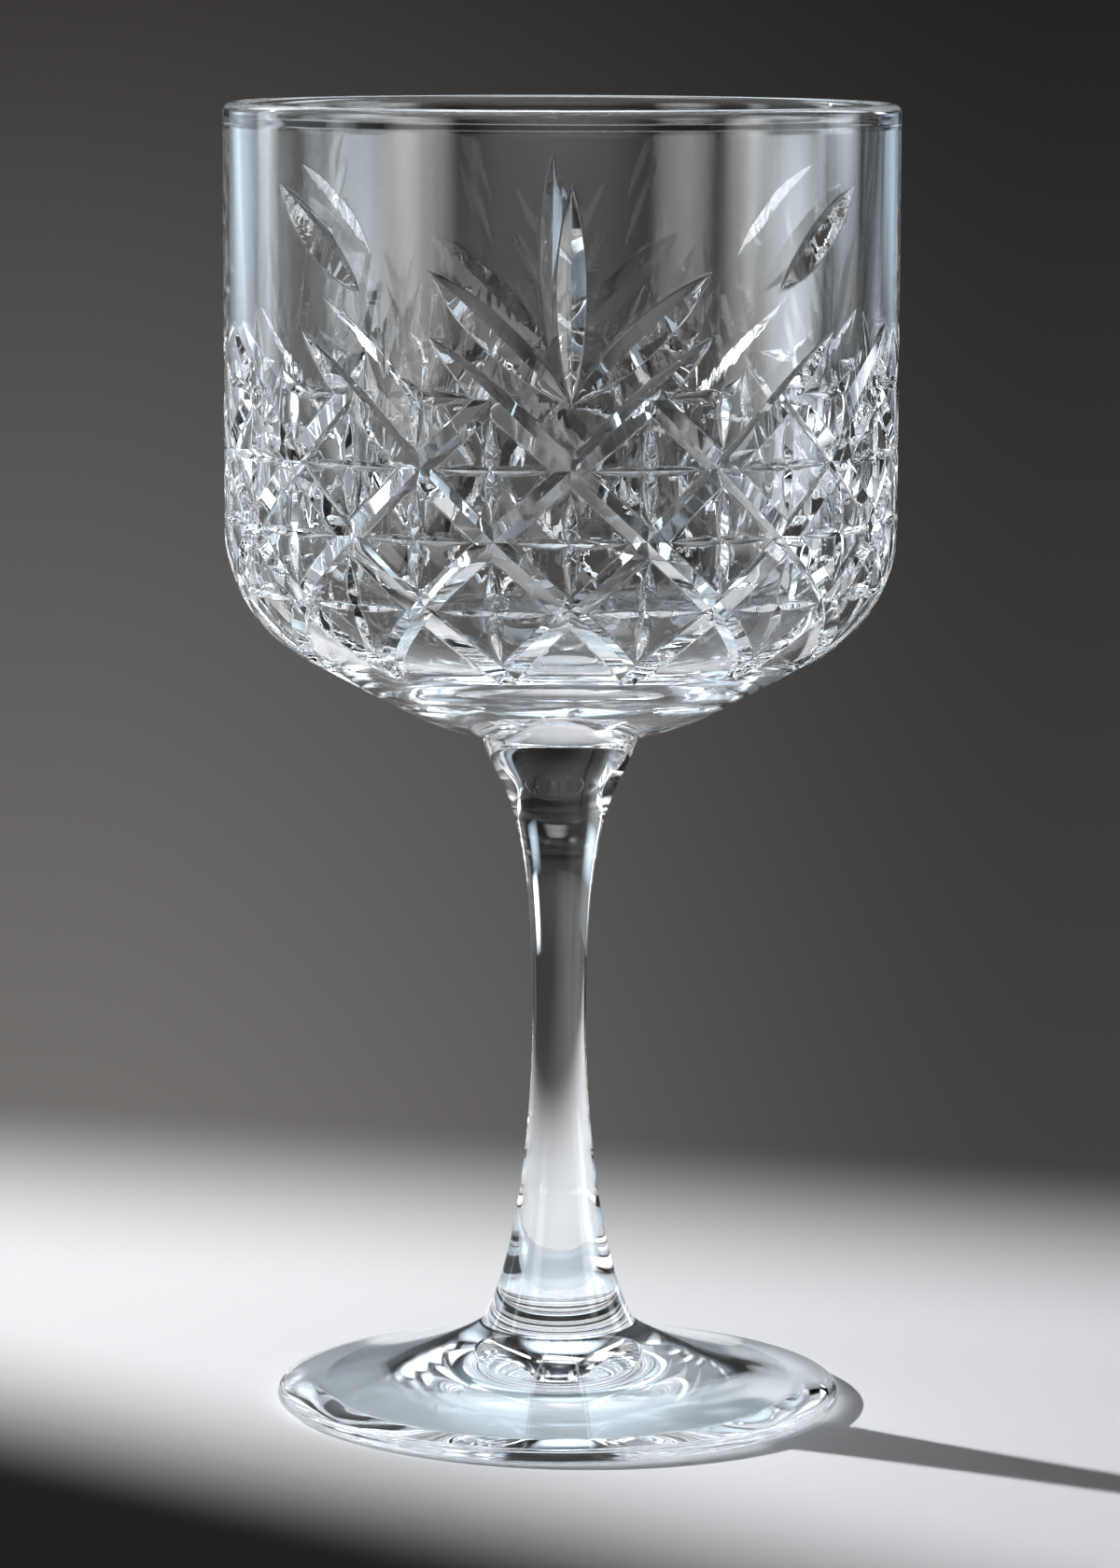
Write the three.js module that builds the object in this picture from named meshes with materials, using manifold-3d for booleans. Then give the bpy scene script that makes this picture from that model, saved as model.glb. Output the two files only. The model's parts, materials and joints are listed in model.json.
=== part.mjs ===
// A stemmed gin glass with a cut bowl: a bowl, a stem and a foot of clear glass, fused end to end.
// Millimetres, +Z up. The foot rests on z = 0, the glass's axis is z, and the cut fan faces -Y.
import * as THREE from "three";
import { mergeVertices } from "three/addons/utils/BufferGeometryUtils.js";
import Module from "manifold-3d";

const wasm = await Module();
wasm.setup();

const degrees = THREE.MathUtils.degToRad;

// The three pieces stand on each other, and these heights add up to the glass's height.
const FOOT_HEIGHT = 12;
const STEM_LENGTH = 91.6;
const BOWL_HEIGHT = 96.4;

// Fused joints: round flat faces that both pieces share
const BOWL_JOINT_RADIUS = 12;
const FOOT_JOINT_RADIUS = 11.9;

// Bowl outside, upwards from its joint face: a round base, a cone, a round shoulder and an upright wall
const WALL_RADIUS = 51.25;
const BASE_SLOPE = degrees(10.3);
const BASE_ROUND = 43;
const CONE_SLOPE = degrees(28.5);
const SHOULDER_RADIUS = 22.7;

// Bowl inside: a dished floor, a round corner and a wall that thins towards the rounded lip
const LIP_THICKNESS = 2.5;
const WALL_THICKNESS = 4;
const SHOULDER_THICKNESS = 3.7;
const BASE_THICKNESS = 6.9;
const FLOOR_RADIUS = 85;

// Stem, upwards from the foot: it narrows to a waist and flares again into a head under the bowl
const WAIST_RADIUS = 4.1;
const WAIST_HEIGHT = 47.6;
const HEAD_FLARE = degrees(15.1);
const HEAD_FLARE_REACH = 9.4;
const HEAD_WAIST_REACH = 35.7;
const BASE_FLARE = degrees(29.4);
const BASE_FLARE_REACH = 14.6;
const BASE_WAIST_REACH = 4.7;

// Foot: a hollow-sided cone that thins to a rounded edge, with a domed hollow inside a flat ring below
const FOOT_RADIUS = 43.6;
const FOOT_EDGE = 2.2;
const FOOT_TOP_SLOPE = degrees(35.6);
const FOOT_TOP_REACH = 7.4;
const FOOT_EDGE_SLOPE = degrees(9.2);
const FOOT_EDGE_REACH = 11.2;
const RING_WIDTH = 6;
const HOLLOW_DEPTH = 5.5;
const HOLLOW_SLOPE = degrees(11);
const HOLLOW_SLOPE_REACH = 16;
const DOME_REACH = 12;

// Net of slanting grooves: columns round the bowl, and rows of crossings above the net's lowest points
const FANS = 2;
const COLUMNS_PER_FAN = 7;
const NET_BASE = 13.5;
const ROW_PITCH = 10.4;
const CENTRE_ROW = 3;
const TOP_ROW = 4;
const GROOVE_WIDTH = 4;
const GROOVE_DEPTH = 1.3;
const GROOVE_RUN_OUT = 1.4;

// Leaves: grooves that swell and run out to a point above the net. A fan's lifts are from the centre row.
const LEAF_RISE = 19.3;
const LEAF_WIDTH = 5.8;
const LEAF_DEPTH = 1.6;
const LEAF_SWELL_SHARE = 0.45;
const FAN_LIFT = 9.5;
const UPRIGHT_LEAF_RISE = 32;
const UPRIGHT_LEAF_WIDTH = 5;
const HIGH_LEAF_LIFT = 32.8;
const HIGH_LEAF_RISE = 15.5;
const HIGH_LEAF_COLUMN = 1.78;

// Stars: a tall and a level cut across the middle of each diamond, ending short of the grooves' crossings
const STAR_GAP = 2.8;
const STAR_TALL_WIDTH = 2.5;
const STAR_TALL_DEPTH = 0.8;
const STAR_LEVEL_WIDTH = 1.7;
const STAR_LEVEL_DEPTH = 0.6;
const HALF_STAR_POINT = 4;

// How far a cutter starts above the glass, and how far its edge lifts off where a groove runs out
const CUTTER_HEADROOM = 0.6;
const RUN_OUT_HEIGHT = 0.03;

// How finely round shapes are faceted: sides round the axis, then steps along an outline or a cut
const COLUMN_SIDES = 4;
const STEM_SIDES = 32;
const FOOT_SIDES = 48;
const BASE_STEPS = 3;
const SHOULDER_STEPS = 5;
const LIP_STEPS = 4;
const FLOOR_STEPS = 3;
const STEM_STEPS = 9;
const FOOT_STEPS = 7;
const EDGE_STEPS = 4;
const HOLLOW_STEPS = 7;
const NET_ROW_STEP = 0.5;
const LEAF_STEPS = 6;
const STAR_STEPS = 2;

const COLUMNS = FANS * COLUMNS_PER_FAN;
const COLUMN_ANGLE = (2 * Math.PI) / COLUMNS;
const glass = new THREE.MeshStandardMaterial({ color: 0xe6ecf0, roughness: 0.05, metalness: 0 });

const point = (r, z) => new THREE.Vector2(r, z);

// Points of an arc round (r, z), without its first point.
function arcPoints(r, z, radius, from, to, steps) {
  const points = new THREE.EllipseCurve(r, z, radius, radius, from, to, to < from).getPoints(steps);
  return points.slice(1);
}

// A cubic curve between two ends, each with the place, angle and reach of its pull on the curve.
function curvePoints(start, end, steps) {
  const pull = ({ at, reach, angle }) => point(reach * Math.cos(angle), reach * Math.sin(angle)).add(at);
  return new THREE.CubicBezierCurve(start.at, pull(start), pull(end), end.at).getPoints(steps);
}

// The bowl's outside below the lip, as the centres that its outline turns on and the ends of its cone
const baseR = BOWL_JOINT_RADIUS - BASE_ROUND * Math.sin(BASE_SLOPE);
const baseZ = BASE_ROUND * Math.cos(BASE_SLOPE);
const coneR = baseR + BASE_ROUND * Math.sin(CONE_SLOPE);
const coneZ = baseZ - BASE_ROUND * Math.cos(CONE_SLOPE);
const shoulderR = WALL_RADIUS - SHOULDER_RADIUS;
const shoulderFootR = shoulderR + SHOULDER_RADIUS * Math.sin(CONE_SLOPE);
const shoulderFootZ = coneZ + (shoulderFootR - coneR) * Math.tan(CONE_SLOPE);
const shoulderZ = shoulderFootZ + SHOULDER_RADIUS * Math.cos(CONE_SLOPE);

// Radius of the bowl's outside at a height, and the slope of its wall's normal above level.
function outsideAt(z) {
  if (z >= shoulderZ) return { r: WALL_RADIUS, tilt: 0 };
  if (z >= shoulderFootZ) {
    const tilt = -Math.asin((shoulderZ - z) / SHOULDER_RADIUS);
    return { r: shoulderR + SHOULDER_RADIUS * Math.cos(tilt), tilt };
  }
  return { r: shoulderFootR - (shoulderFootZ - z) / Math.tan(CONE_SLOPE), tilt: CONE_SLOPE - Math.PI / 2 };
}

function latheSolid(points, sides) {
  const geometry = new THREE.LatheGeometry(points, sides);
  geometry.rotateX(Math.PI / 2);
  return solidFrom(geometry);
}

// A closed geometry as a solid that can be cut.
function solidFrom(geometry) {
  const bare = geometry.clone();
  bare.deleteAttribute("normal");
  bare.deleteAttribute("uv");
  const merged = mergeVertices(bare);
  return new wasm.Manifold(
    new wasm.Mesh({
      numProp: 3,
      vertProperties: new Float32Array(merged.getAttribute("position").array),
      triVerts: new Uint32Array(merged.index.array),
    }),
  );
}

function meshFrom(name, solid, height) {
  const data = solid.getMesh();
  const geometry = new THREE.BufferGeometry();
  geometry.setAttribute("position", new THREE.BufferAttribute(data.vertProperties, 3));
  geometry.setIndex(new THREE.BufferAttribute(data.triVerts, 1));
  geometry.computeVertexNormals();
  const mesh = new THREE.Mesh(geometry, glass);
  mesh.name = name;
  mesh.position.z = height;
  return mesh;
}

// The bowl before it is cut, from the middle of its joint face round the lip to the middle of its floor.
function bowlBlank() {
  const lip = LIP_THICKNESS / 2;
  const cornerRadius = SHOULDER_RADIUS - SHOULDER_THICKNESS;
  const cornerR = WALL_RADIUS - WALL_THICKNESS - cornerRadius;
  const floorCentreZ = BASE_THICKNESS + FLOOR_RADIUS;
  const floorEnd = Math.asin(cornerR / (FLOOR_RADIUS - cornerRadius));
  const cornerZ = floorCentreZ - (FLOOR_RADIUS - cornerRadius) * Math.cos(floorEnd);
  const down = -Math.PI / 2;
  return latheSolid(
    [
      point(0, 0),
      point(BOWL_JOINT_RADIUS, 0),
      ...arcPoints(baseR, baseZ, BASE_ROUND, down + BASE_SLOPE, down + CONE_SLOPE, BASE_STEPS),
      point(shoulderFootR, shoulderFootZ),
      ...arcPoints(shoulderR, shoulderZ, SHOULDER_RADIUS, down + CONE_SLOPE, 0, SHOULDER_STEPS),
      point(WALL_RADIUS, BOWL_HEIGHT - lip),
      ...arcPoints(WALL_RADIUS - lip, BOWL_HEIGHT - lip, lip, 0, Math.PI, LIP_STEPS),
      point(WALL_RADIUS - WALL_THICKNESS, cornerZ),
      ...arcPoints(cornerR, cornerZ, cornerRadius, 0, down + floorEnd, SHOULDER_STEPS),
      ...arcPoints(0, floorCentreZ, FLOOR_RADIUS, down + floorEnd, down, FLOOR_STEPS),
    ],
    COLUMN_SIDES * COLUMNS,
  );
}

// A three-sided bar over the bowl's outside, whose lower edge cuts a V groove.
// Each stop of the path has an angle, a height and a depth, which is negative above the glass.
function grooveCutter(path, flare) {
  const spots = path.map(({ angle, z, depth }) => {
    const { r, tilt } = outsideAt(z);
    const out = new THREE.Vector3(Math.sin(angle), -Math.cos(angle), 0);
    const normal = out.clone().multiplyScalar(Math.cos(tilt));
    normal.z = Math.sin(tilt);
    return { place: out.multiplyScalar(r).setZ(z), normal, depth };
  });
  const positions = [];
  spots.forEach(({ place, normal, depth }, i) => {
    const before = spots[Math.max(i - 1, 0)].place;
    const after = spots[Math.min(i + 1, spots.length - 1)].place;
    const side = after.clone().sub(before).cross(normal).normalize();
    const top = place.clone().addScaledVector(normal, CUTTER_HEADROOM);
    const half = (depth + CUTTER_HEADROOM) * flare;
    positions.push(
      ...place.clone().addScaledVector(normal, -depth).toArray(),
      ...top.clone().addScaledVector(side, half).toArray(),
      ...top.clone().addScaledVector(side, -half).toArray(),
    );
  });
  const last = 3 * (spots.length - 1);
  const index = [0, 1, 2, last, last + 2, last + 1];
  for (let a = 0; a < last; a += 3)
    for (let edge = 0; edge < 3; edge++) {
      const here = a + edge;
      const next = a + ((edge + 1) % 3);
      index.push(here, here + 3, next, next, here + 3, next + 3);
    }
  const geometry = new THREE.BufferGeometry();
  geometry.setAttribute("position", new THREE.Float32BufferAttribute(positions, 3));
  geometry.setIndex(index);
  return solidFrom(geometry);
}

const rowHeight = (row) => NET_BASE + row * ROW_PITCH;
const flareOf = (width, depth) => width / 2 / depth;

// A cut between two places that is deepest half way and runs out to a point at both ends.
function leafCutter(from, to, width, depth, steps) {
  const path = Array.from({ length: steps + 1 }, (_, i) => {
    const t = i / steps;
    return {
      angle: THREE.MathUtils.lerp(from.angle, to.angle, t),
      z: THREE.MathUtils.lerp(from.z, to.z, t),
      depth: (depth + RUN_OUT_HEIGHT) * 4 * t * (1 - t) - RUN_OUT_HEIGHT,
    };
  });
  return grooveCutter(path, flareOf(width, depth));
}

// Where a slanting line through the centre row's crossing of a column stands at a row; lean is 1 or -1.
function onLine(column, lean, row) {
  return { angle: (column + (lean * (row - CENTRE_ROW)) / 2) * COLUMN_ANGLE, z: rowHeight(row) };
}

// Depth of a line that ends in a leaf, by the share of the way from its last crossing to its tip.
function leafEndDepth(share) {
  if (share < LEAF_SWELL_SHARE)
    return THREE.MathUtils.lerp(GROOVE_DEPTH, LEAF_DEPTH, share / LEAF_SWELL_SHARE);
  const past = (share - LEAF_SWELL_SHARE) / (1 - LEAF_SWELL_SHARE);
  return (LEAF_DEPTH + RUN_OUT_HEIGHT) * (1 - past * past) - RUN_OUT_HEIGHT;
}

// One slanting line of the net, from its lowest point up to the top row or on to a leaf's tip.
function netLineCutter(column, lean, endsInLeaf) {
  const runOut = GROOVE_RUN_OUT / ROW_PITCH;
  const stop = (row, depth) => ({ ...onLine(column, lean, row), depth });
  const path = [stop(-runOut, -RUN_OUT_HEIGHT)];
  for (let row = 0; row < CENTRE_ROW; row += NET_ROW_STEP) path.push(stop(row, GROOVE_DEPTH));
  if (endsInLeaf) {
    for (let i = 0; i <= LEAF_STEPS; i++) {
      const share = i / LEAF_STEPS;
      path.push(stop(CENTRE_ROW + (share * LEAF_RISE) / ROW_PITCH, leafEndDepth(share)));
    }
  } else {
    for (let row = CENTRE_ROW; row <= TOP_ROW; row += NET_ROW_STEP) path.push(stop(row, GROOVE_DEPTH));
    path.push(stop(TOP_ROW + runOut, -RUN_OUT_HEIGHT));
  }
  return grooveCutter(path, flareOf(GROOVE_WIDTH, GROOVE_DEPTH));
}

// Half the length of a star's tall cut, and the angle that half its level cut spans
const starTallHalf = ROW_PITCH - STAR_GAP;
const starLevelHalf = COLUMN_ANGLE / 2 - STAR_GAP / WALL_RADIUS;

function starCutters(column, row) {
  const angle = column * COLUMN_ANGLE;
  const z = rowHeight(row);
  const tall = [-starTallHalf, starTallHalf].map((half) => ({ angle, z: z + half }));
  const level = [-starLevelHalf, starLevelHalf].map((half) => ({ angle: angle + half, z }));
  return [
    leafCutter(...tall, STAR_TALL_WIDTH, STAR_TALL_DEPTH, STAR_STEPS),
    leafCutter(...level, STAR_LEVEL_WIDTH, STAR_LEVEL_DEPTH, STAR_STEPS),
  ];
}

// What the net's top edge leaves of a star: an arm down, an arm towards the fan and a short point outwards.
function halfStarCutters(column, outward) {
  const hub = { angle: column * COLUMN_ANGLE, z: rowHeight(TOP_ROW) };
  const slant = HALF_STAR_POINT * Math.SQRT1_2;
  const ends = [
    { angle: hub.angle, z: hub.z - starTallHalf },
    { angle: hub.angle - outward * starLevelHalf, z: hub.z },
    { angle: hub.angle + (outward * slant) / WALL_RADIUS, z: hub.z + slant },
  ];
  return ends.map((end) => leafCutter(hub, end, STAR_TALL_WIDTH, STAR_TALL_DEPTH, STAR_STEPS));
}

// A fan: an upright leaf, a slanting pair from the same root and a pair high on the wall.
function fanCutters(column) {
  const root = { angle: column * COLUMN_ANGLE, z: rowHeight(CENTRE_ROW) + FAN_LIFT };
  const highZ = rowHeight(CENTRE_ROW) + HIGH_LEAF_LIFT;
  const tip = { angle: root.angle, z: root.z + UPRIGHT_LEAF_RISE };
  const cutters = [leafCutter(root, tip, UPRIGHT_LEAF_WIDTH, LEAF_DEPTH, LEAF_STEPS)];
  for (const lean of [-1, 1]) {
    const slantAngle = (rise) => ((lean * rise) / ROW_PITCH) * (COLUMN_ANGLE / 2);
    const pairTip = { angle: root.angle + slantAngle(LEAF_RISE), z: root.z + LEAF_RISE };
    const middle = root.angle + lean * HIGH_LEAF_COLUMN * COLUMN_ANGLE;
    const highEnds = [-0.5, 0.5].map((half) => ({
      angle: middle + slantAngle(half * HIGH_LEAF_RISE),
      z: highZ + half * HIGH_LEAF_RISE,
    }));
    cutters.push(leafCutter(root, pairTip, LEAF_WIDTH, LEAF_DEPTH, LEAF_STEPS));
    cutters.push(leafCutter(...highEnds, LEAF_WIDTH, LEAF_DEPTH, LEAF_STEPS));
  }
  return cutters;
}

// Columns from the nearest fan: 0 under the fan, positive to its right as seen from outside.
function columnsFromFan(column) {
  const reach = (COLUMNS_PER_FAN - 1) / 2;
  return ((column + reach) % COLUMNS_PER_FAN) - reach;
}

function bowl() {
  const cutters = [];
  for (let column = 0; column < COLUMNS; column++) {
    const side = Math.sign(columnsFromFan(column));
    cutters.push(netLineCutter(column, 1, side >= 0), netLineCutter(column, -1, side <= 0));
    for (let row = 1; row <= CENTRE_ROW; row++) cutters.push(...starCutters(column + (row % 2) / 2, row));
    cutters.push(...(side === 0 ? fanCutters(column) : halfStarCutters(column, side)));
  }
  const cut = cutters.reduce((solid, cutter) => solid.subtract(cutter), bowlBlank());
  return meshFrom("bowl", cut, FOOT_HEIGHT + STEM_LENGTH);
}

function stem() {
  const up = Math.PI / 2;
  const waist = point(WAIST_RADIUS, WAIST_HEIGHT);
  const base = point(FOOT_JOINT_RADIUS, 0);
  const head = point(BOWL_JOINT_RADIUS, STEM_LENGTH);
  const lower = curvePoints(
    { at: base, reach: BASE_FLARE_REACH, angle: up + BASE_FLARE },
    { at: waist, reach: BASE_WAIST_REACH, angle: -up },
    STEM_STEPS,
  );
  const upper = curvePoints(
    { at: waist, reach: HEAD_WAIST_REACH, angle: up },
    { at: head, reach: HEAD_FLARE_REACH, angle: -up - HEAD_FLARE },
    STEM_STEPS,
  );
  const outline = [point(0, 0), ...lower, ...upper.slice(1), point(0, STEM_LENGTH)];
  return meshFrom("stem", latheSolid(outline, STEM_SIDES), FOOT_HEIGHT);
}

function foot() {
  const round = FOOT_EDGE / 2;
  const edgeR = FOOT_RADIUS - round;
  const joint = point(FOOT_JOINT_RADIUS, FOOT_HEIGHT);
  const edge = point(edgeR, FOOT_EDGE);
  const hollow = curvePoints(
    { at: point(0, HOLLOW_DEPTH), reach: DOME_REACH, angle: 0 },
    { at: point(edgeR - RING_WIDTH, 0), reach: HOLLOW_SLOPE_REACH, angle: Math.PI - HOLLOW_SLOPE },
    HOLLOW_STEPS,
  );
  const upper = curvePoints(
    { at: edge, reach: FOOT_EDGE_REACH, angle: Math.PI - FOOT_EDGE_SLOPE },
    { at: joint, reach: FOOT_TOP_REACH, angle: -FOOT_TOP_SLOPE },
    FOOT_STEPS,
  );
  const outline = [
    ...hollow,
    point(edgeR, 0),
    ...arcPoints(edgeR, round, round, -Math.PI / 2, Math.PI / 2, EDGE_STEPS),
    ...upper.slice(1),
    point(0, FOOT_HEIGHT),
  ];
  return meshFrom("foot", latheSolid(outline, FOOT_SIDES), 0);
}

const ginGlass = new THREE.Group();
ginGlass.name = "gin_glass";
ginGlass.add(bowl(), stem(), foot());

export default ginGlass;
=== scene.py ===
"""A stemmed gin glass with a cut bowl, modelled over its construction frame, and the stage it stands on.

The foot rests on z = 0, the glass's axis is z, and the fan of the cut pattern faces -Y. Lengths are metres.
"""

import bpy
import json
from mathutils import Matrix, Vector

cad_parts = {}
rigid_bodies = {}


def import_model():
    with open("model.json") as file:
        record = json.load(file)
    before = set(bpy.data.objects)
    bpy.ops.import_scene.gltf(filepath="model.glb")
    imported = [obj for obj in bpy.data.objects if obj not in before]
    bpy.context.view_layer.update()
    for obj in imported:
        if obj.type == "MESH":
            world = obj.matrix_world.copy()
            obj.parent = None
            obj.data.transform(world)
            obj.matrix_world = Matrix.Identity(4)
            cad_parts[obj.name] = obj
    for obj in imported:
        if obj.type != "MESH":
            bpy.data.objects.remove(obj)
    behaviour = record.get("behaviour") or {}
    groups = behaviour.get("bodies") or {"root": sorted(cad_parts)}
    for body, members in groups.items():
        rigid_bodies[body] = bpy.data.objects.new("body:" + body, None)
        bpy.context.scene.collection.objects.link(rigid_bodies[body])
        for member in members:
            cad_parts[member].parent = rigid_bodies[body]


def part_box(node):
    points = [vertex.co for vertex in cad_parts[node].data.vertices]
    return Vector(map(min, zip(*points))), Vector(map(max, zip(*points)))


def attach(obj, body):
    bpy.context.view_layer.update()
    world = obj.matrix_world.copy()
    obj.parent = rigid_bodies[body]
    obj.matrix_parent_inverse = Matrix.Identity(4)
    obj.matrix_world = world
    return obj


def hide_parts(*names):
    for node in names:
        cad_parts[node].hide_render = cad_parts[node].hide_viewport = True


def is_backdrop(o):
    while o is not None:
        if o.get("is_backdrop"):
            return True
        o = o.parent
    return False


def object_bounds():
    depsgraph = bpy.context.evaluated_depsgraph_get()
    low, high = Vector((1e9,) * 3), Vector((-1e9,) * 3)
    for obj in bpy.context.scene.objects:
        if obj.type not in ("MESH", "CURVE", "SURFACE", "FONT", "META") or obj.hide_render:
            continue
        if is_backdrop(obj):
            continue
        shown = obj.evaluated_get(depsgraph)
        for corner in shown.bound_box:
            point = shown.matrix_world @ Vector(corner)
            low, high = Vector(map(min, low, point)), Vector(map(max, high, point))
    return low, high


bl_info = {
    "name": "Gin glass",
    "version": (1, 0, 0),
    "blender": (4, 5, 0),
    "location": "3D View > Sidebar > Gin glass",
    "description": "Models a stemmed gin glass with a cut bowl, and the stage that it stands on",
    "category": "Add Mesh",
}

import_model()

import json
import math
from collections import namedtuple

import bmesh
import bpy
from bpy.props import FloatProperty, FloatVectorProperty, IntProperty, PointerProperty
from mathutils import Matrix, Vector

FRAME_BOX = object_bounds()
STEM_LOW, STEM_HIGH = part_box("stem")
BOWL_LOW, BOWL_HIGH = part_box("bowl")
FOOT_LOW, FOOT_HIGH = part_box("foot")

MM = 0.001
FULL_TURN = 2 * math.pi
DOWN = -math.pi / 2
SAME_PLACE = 0.001 * MM
LEVEL_NORMAL = 0.999

# Slot of the fused joint's material, after the glass in slot 0
JOINT_SLOT = 1

# Edges that turn more than this stay sharp: on the cut bowl, and on the turned stem and foot
CUT_EDGE = math.radians(30)
TURNED_EDGE = math.radians(40)

# Brings the top of t * (1 - t) to 1
HUMP_SCALE = 4

# How finely the pieces are turned: sides round the axis, and steps along each round stretch of an outline
SIDES_PER_COLUMN = 16
STEM_SIDES = 128
FOOT_SIDES = 192
ARC_STEPS = 24
LIP_STEPS = 12
CURVE_STEPS = 40
WALL_STEPS = 8

# Stations along a cutter
STATIONS_PER_ROW = 8
LEAF_STATIONS = 24
STAR_STATIONS = 16


def length(name, description, default):
    return FloatProperty(name=name, description=description, default=default, unit="LENGTH", precision=5)


def angle(name, description, default):
    return FloatProperty(name=name, description=description, default=math.radians(default), subtype="ANGLE")


def share(name, description, default):
    return FloatProperty(name=name, description=description, default=default, subtype="FACTOR", min=0, max=1)


def colour(name, description, default):
    return FloatVectorProperty(
        name=name, description=description, default=default, subtype="COLOR", min=0, max=1
    )


def level(name, description, default):
    return FloatProperty(name=name, description=description, default=default, min=0)


class BowlSizes(bpy.types.PropertyGroup):
    """Sizes of the bowl before it is cut"""

    joint_radius: length("Joint radius", "Radius of the flat face fused to the stem", STEM_HIGH.x)
    wall_radius: length("Wall radius", "Outer radius of the upright wall", BOWL_HIGH.x)
    base_slope: angle("Base slope", "Rise of the round base where it leaves the joint", 10.3)
    base_round: length("Base rounding", "Radius of the round base's section", 43 * MM)
    cone_slope: angle("Cone slope", "Rise of the cone from the base to the shoulder", 28.5)
    shoulder_radius: length("Shoulder radius", "Radius of the round shoulder's section", 22.7 * MM)
    lip_thickness: length("Lip thickness", "Thickness of the rounded lip", 2.6 * MM)
    neck_thickness: length("Neck thickness", "Thickness of the wall just below the lip", 2.4 * MM)
    neck_drop: length("Neck drop", "How far below the lip's top the wall is thinnest", 4 * MM)
    wall_thickness: length("Wall thickness", "Thickness at the foot of the upright wall", 4 * MM)
    shoulder_thickness: length("Shoulder thickness", "Outer less inner radius of the shoulder", 3.7 * MM)
    base_thickness: length("Base thickness", "Thickness of the glass on the axis", 6.9 * MM)
    floor_radius: length("Floor radius", "Radius of the dished floor's section", 85 * MM)


class CutSizes(bpy.types.PropertyGroup):
    """Sizes of the cut pattern"""

    fans: IntProperty(name="Fans", description="Fans of leaves round the bowl", default=2, min=1)
    fan_columns: IntProperty(name="Fan columns", description="Columns of diamonds per fan", default=7, min=3)
    net_base: length("Net base", "Height of the net's lowest points above the joint", 13.5 * MM)
    row_pitch: length("Row pitch", "Height between two rows of crossings", 10.4 * MM)
    groove_width: length("Groove width", "Width of the net's grooves", 4 * MM)
    groove_depth: length("Groove depth", "Depth of the net's grooves", 1.3 * MM)
    groove_run_out: length("Groove run-out", "How far a groove goes past its last crossing", 1.4 * MM)
    leaf_rise: length("Leaf rise", "Height of a slanting leaf", 19.3 * MM)
    leaf_width: length("Leaf width", "Width of a slanting leaf", 5.8 * MM)
    leaf_depth: length("Leaf depth", "Depth of a leaf", 1.6 * MM)
    leaf_swell: share("Leaf swell", "Where along its rise a line's leaf is deepest", 0.45)
    fan_lift: length("Fan lift", "Height of a fan's root above the centre row", 9.5 * MM)
    upright_rise: length("Upright leaf rise", "Height of a fan's upright leaf", 32 * MM)
    upright_width: length("Upright leaf width", "Width of a fan's upright leaf", 5 * MM)
    high_lift: length("High leaf lift", "Height of a high leaf's middle above the centre row", 32.8 * MM)
    high_rise: length("High leaf rise", "Height of a high leaf", 15.5 * MM)
    high_column: FloatProperty(name="High leaf column", description="Columns from fan to leaf", default=1.78)
    star_gap: length("Star gap", "Distance from a star's tip to the crossing beyond it", 2.8 * MM)
    star_tall_width: length("Star tall width", "Width of a star's tall cut", 2.5 * MM)
    star_tall_depth: length("Star tall depth", "Depth of a star's tall cut", 0.8 * MM)
    star_level_width: length("Star level width", "Width of a star's level cut", 1.7 * MM)
    star_level_depth: length("Star level depth", "Depth of a star's level cut", 0.6 * MM)
    star_waist: share("Star waist", "Depth at a star's hub as a share of its arms' depth", 0.4)
    half_star_point: length("Half star point", "Length of a half star's outward point", 4 * MM)
    soft_edge: length("Soft edge", "Depth over which a cut's edge is rounded", 0.1 * MM)


class StemSizes(bpy.types.PropertyGroup):
    """Sizes of the stem"""

    head_radius: length("Head radius", "Radius of the joint with the bowl", STEM_HIGH.x)
    base_radius: length("Base radius", "Radius of the joint with the foot", 11.9 * MM)
    waist_radius: length("Waist radius", "Radius at the waist", 4.1 * MM)
    waist_height: length("Waist height", "Height of the waist above the foot", 47.6 * MM)
    head_flare: angle("Head flare", "Lean of the outline under the bowl", 15.1)
    head_flare_reach: length("Head flare reach", "How far the head's flare pulls the outline", 9.4 * MM)
    head_waist_reach: length("Upper waist reach", "How far the waist pulls the outline above it", 35.7 * MM)
    base_flare: angle("Base flare", "Lean of the outline over the foot", 29.4)
    base_flare_reach: length("Base flare reach", "How far the base's flare pulls the outline", 14.6 * MM)
    base_waist_reach: length("Lower waist reach", "How far the waist pulls the outline below it", 4.7 * MM)


class FootSizes(bpy.types.PropertyGroup):
    """Sizes of the foot"""

    radius: length("Radius", "Outer radius", FOOT_HIGH.x)
    joint_radius: length("Joint radius", "Radius of the joint with the stem", 11.9 * MM)
    edge: length("Edge", "Thickness of the rounded edge", 2.2 * MM)
    top_slope: angle("Top slope", "Fall of the outline at the joint", 35.6)
    top_reach: length("Top reach", "How far the top slope pulls the outline", 7.4 * MM)
    edge_slope: angle("Edge slope", "Fall of the outline at the edge", 9.2)
    edge_reach: length("Edge reach", "How far the edge slope pulls the outline", 11.2 * MM)
    ring_width: length("Ring width", "Width of the flat ring that the foot stands on", 6 * MM)
    hollow_depth: length("Hollow depth", "Depth of the domed hollow below", 5.5 * MM)
    hollow_slope: angle("Hollow slope", "Rise of the hollow from the flat ring", 11)
    hollow_reach: length("Hollow reach", "How far the hollow's slope pulls its outline", 16 * MM)
    dome_reach: length("Dome reach", "How far the level top of the hollow pulls its outline", 12 * MM)


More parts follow.
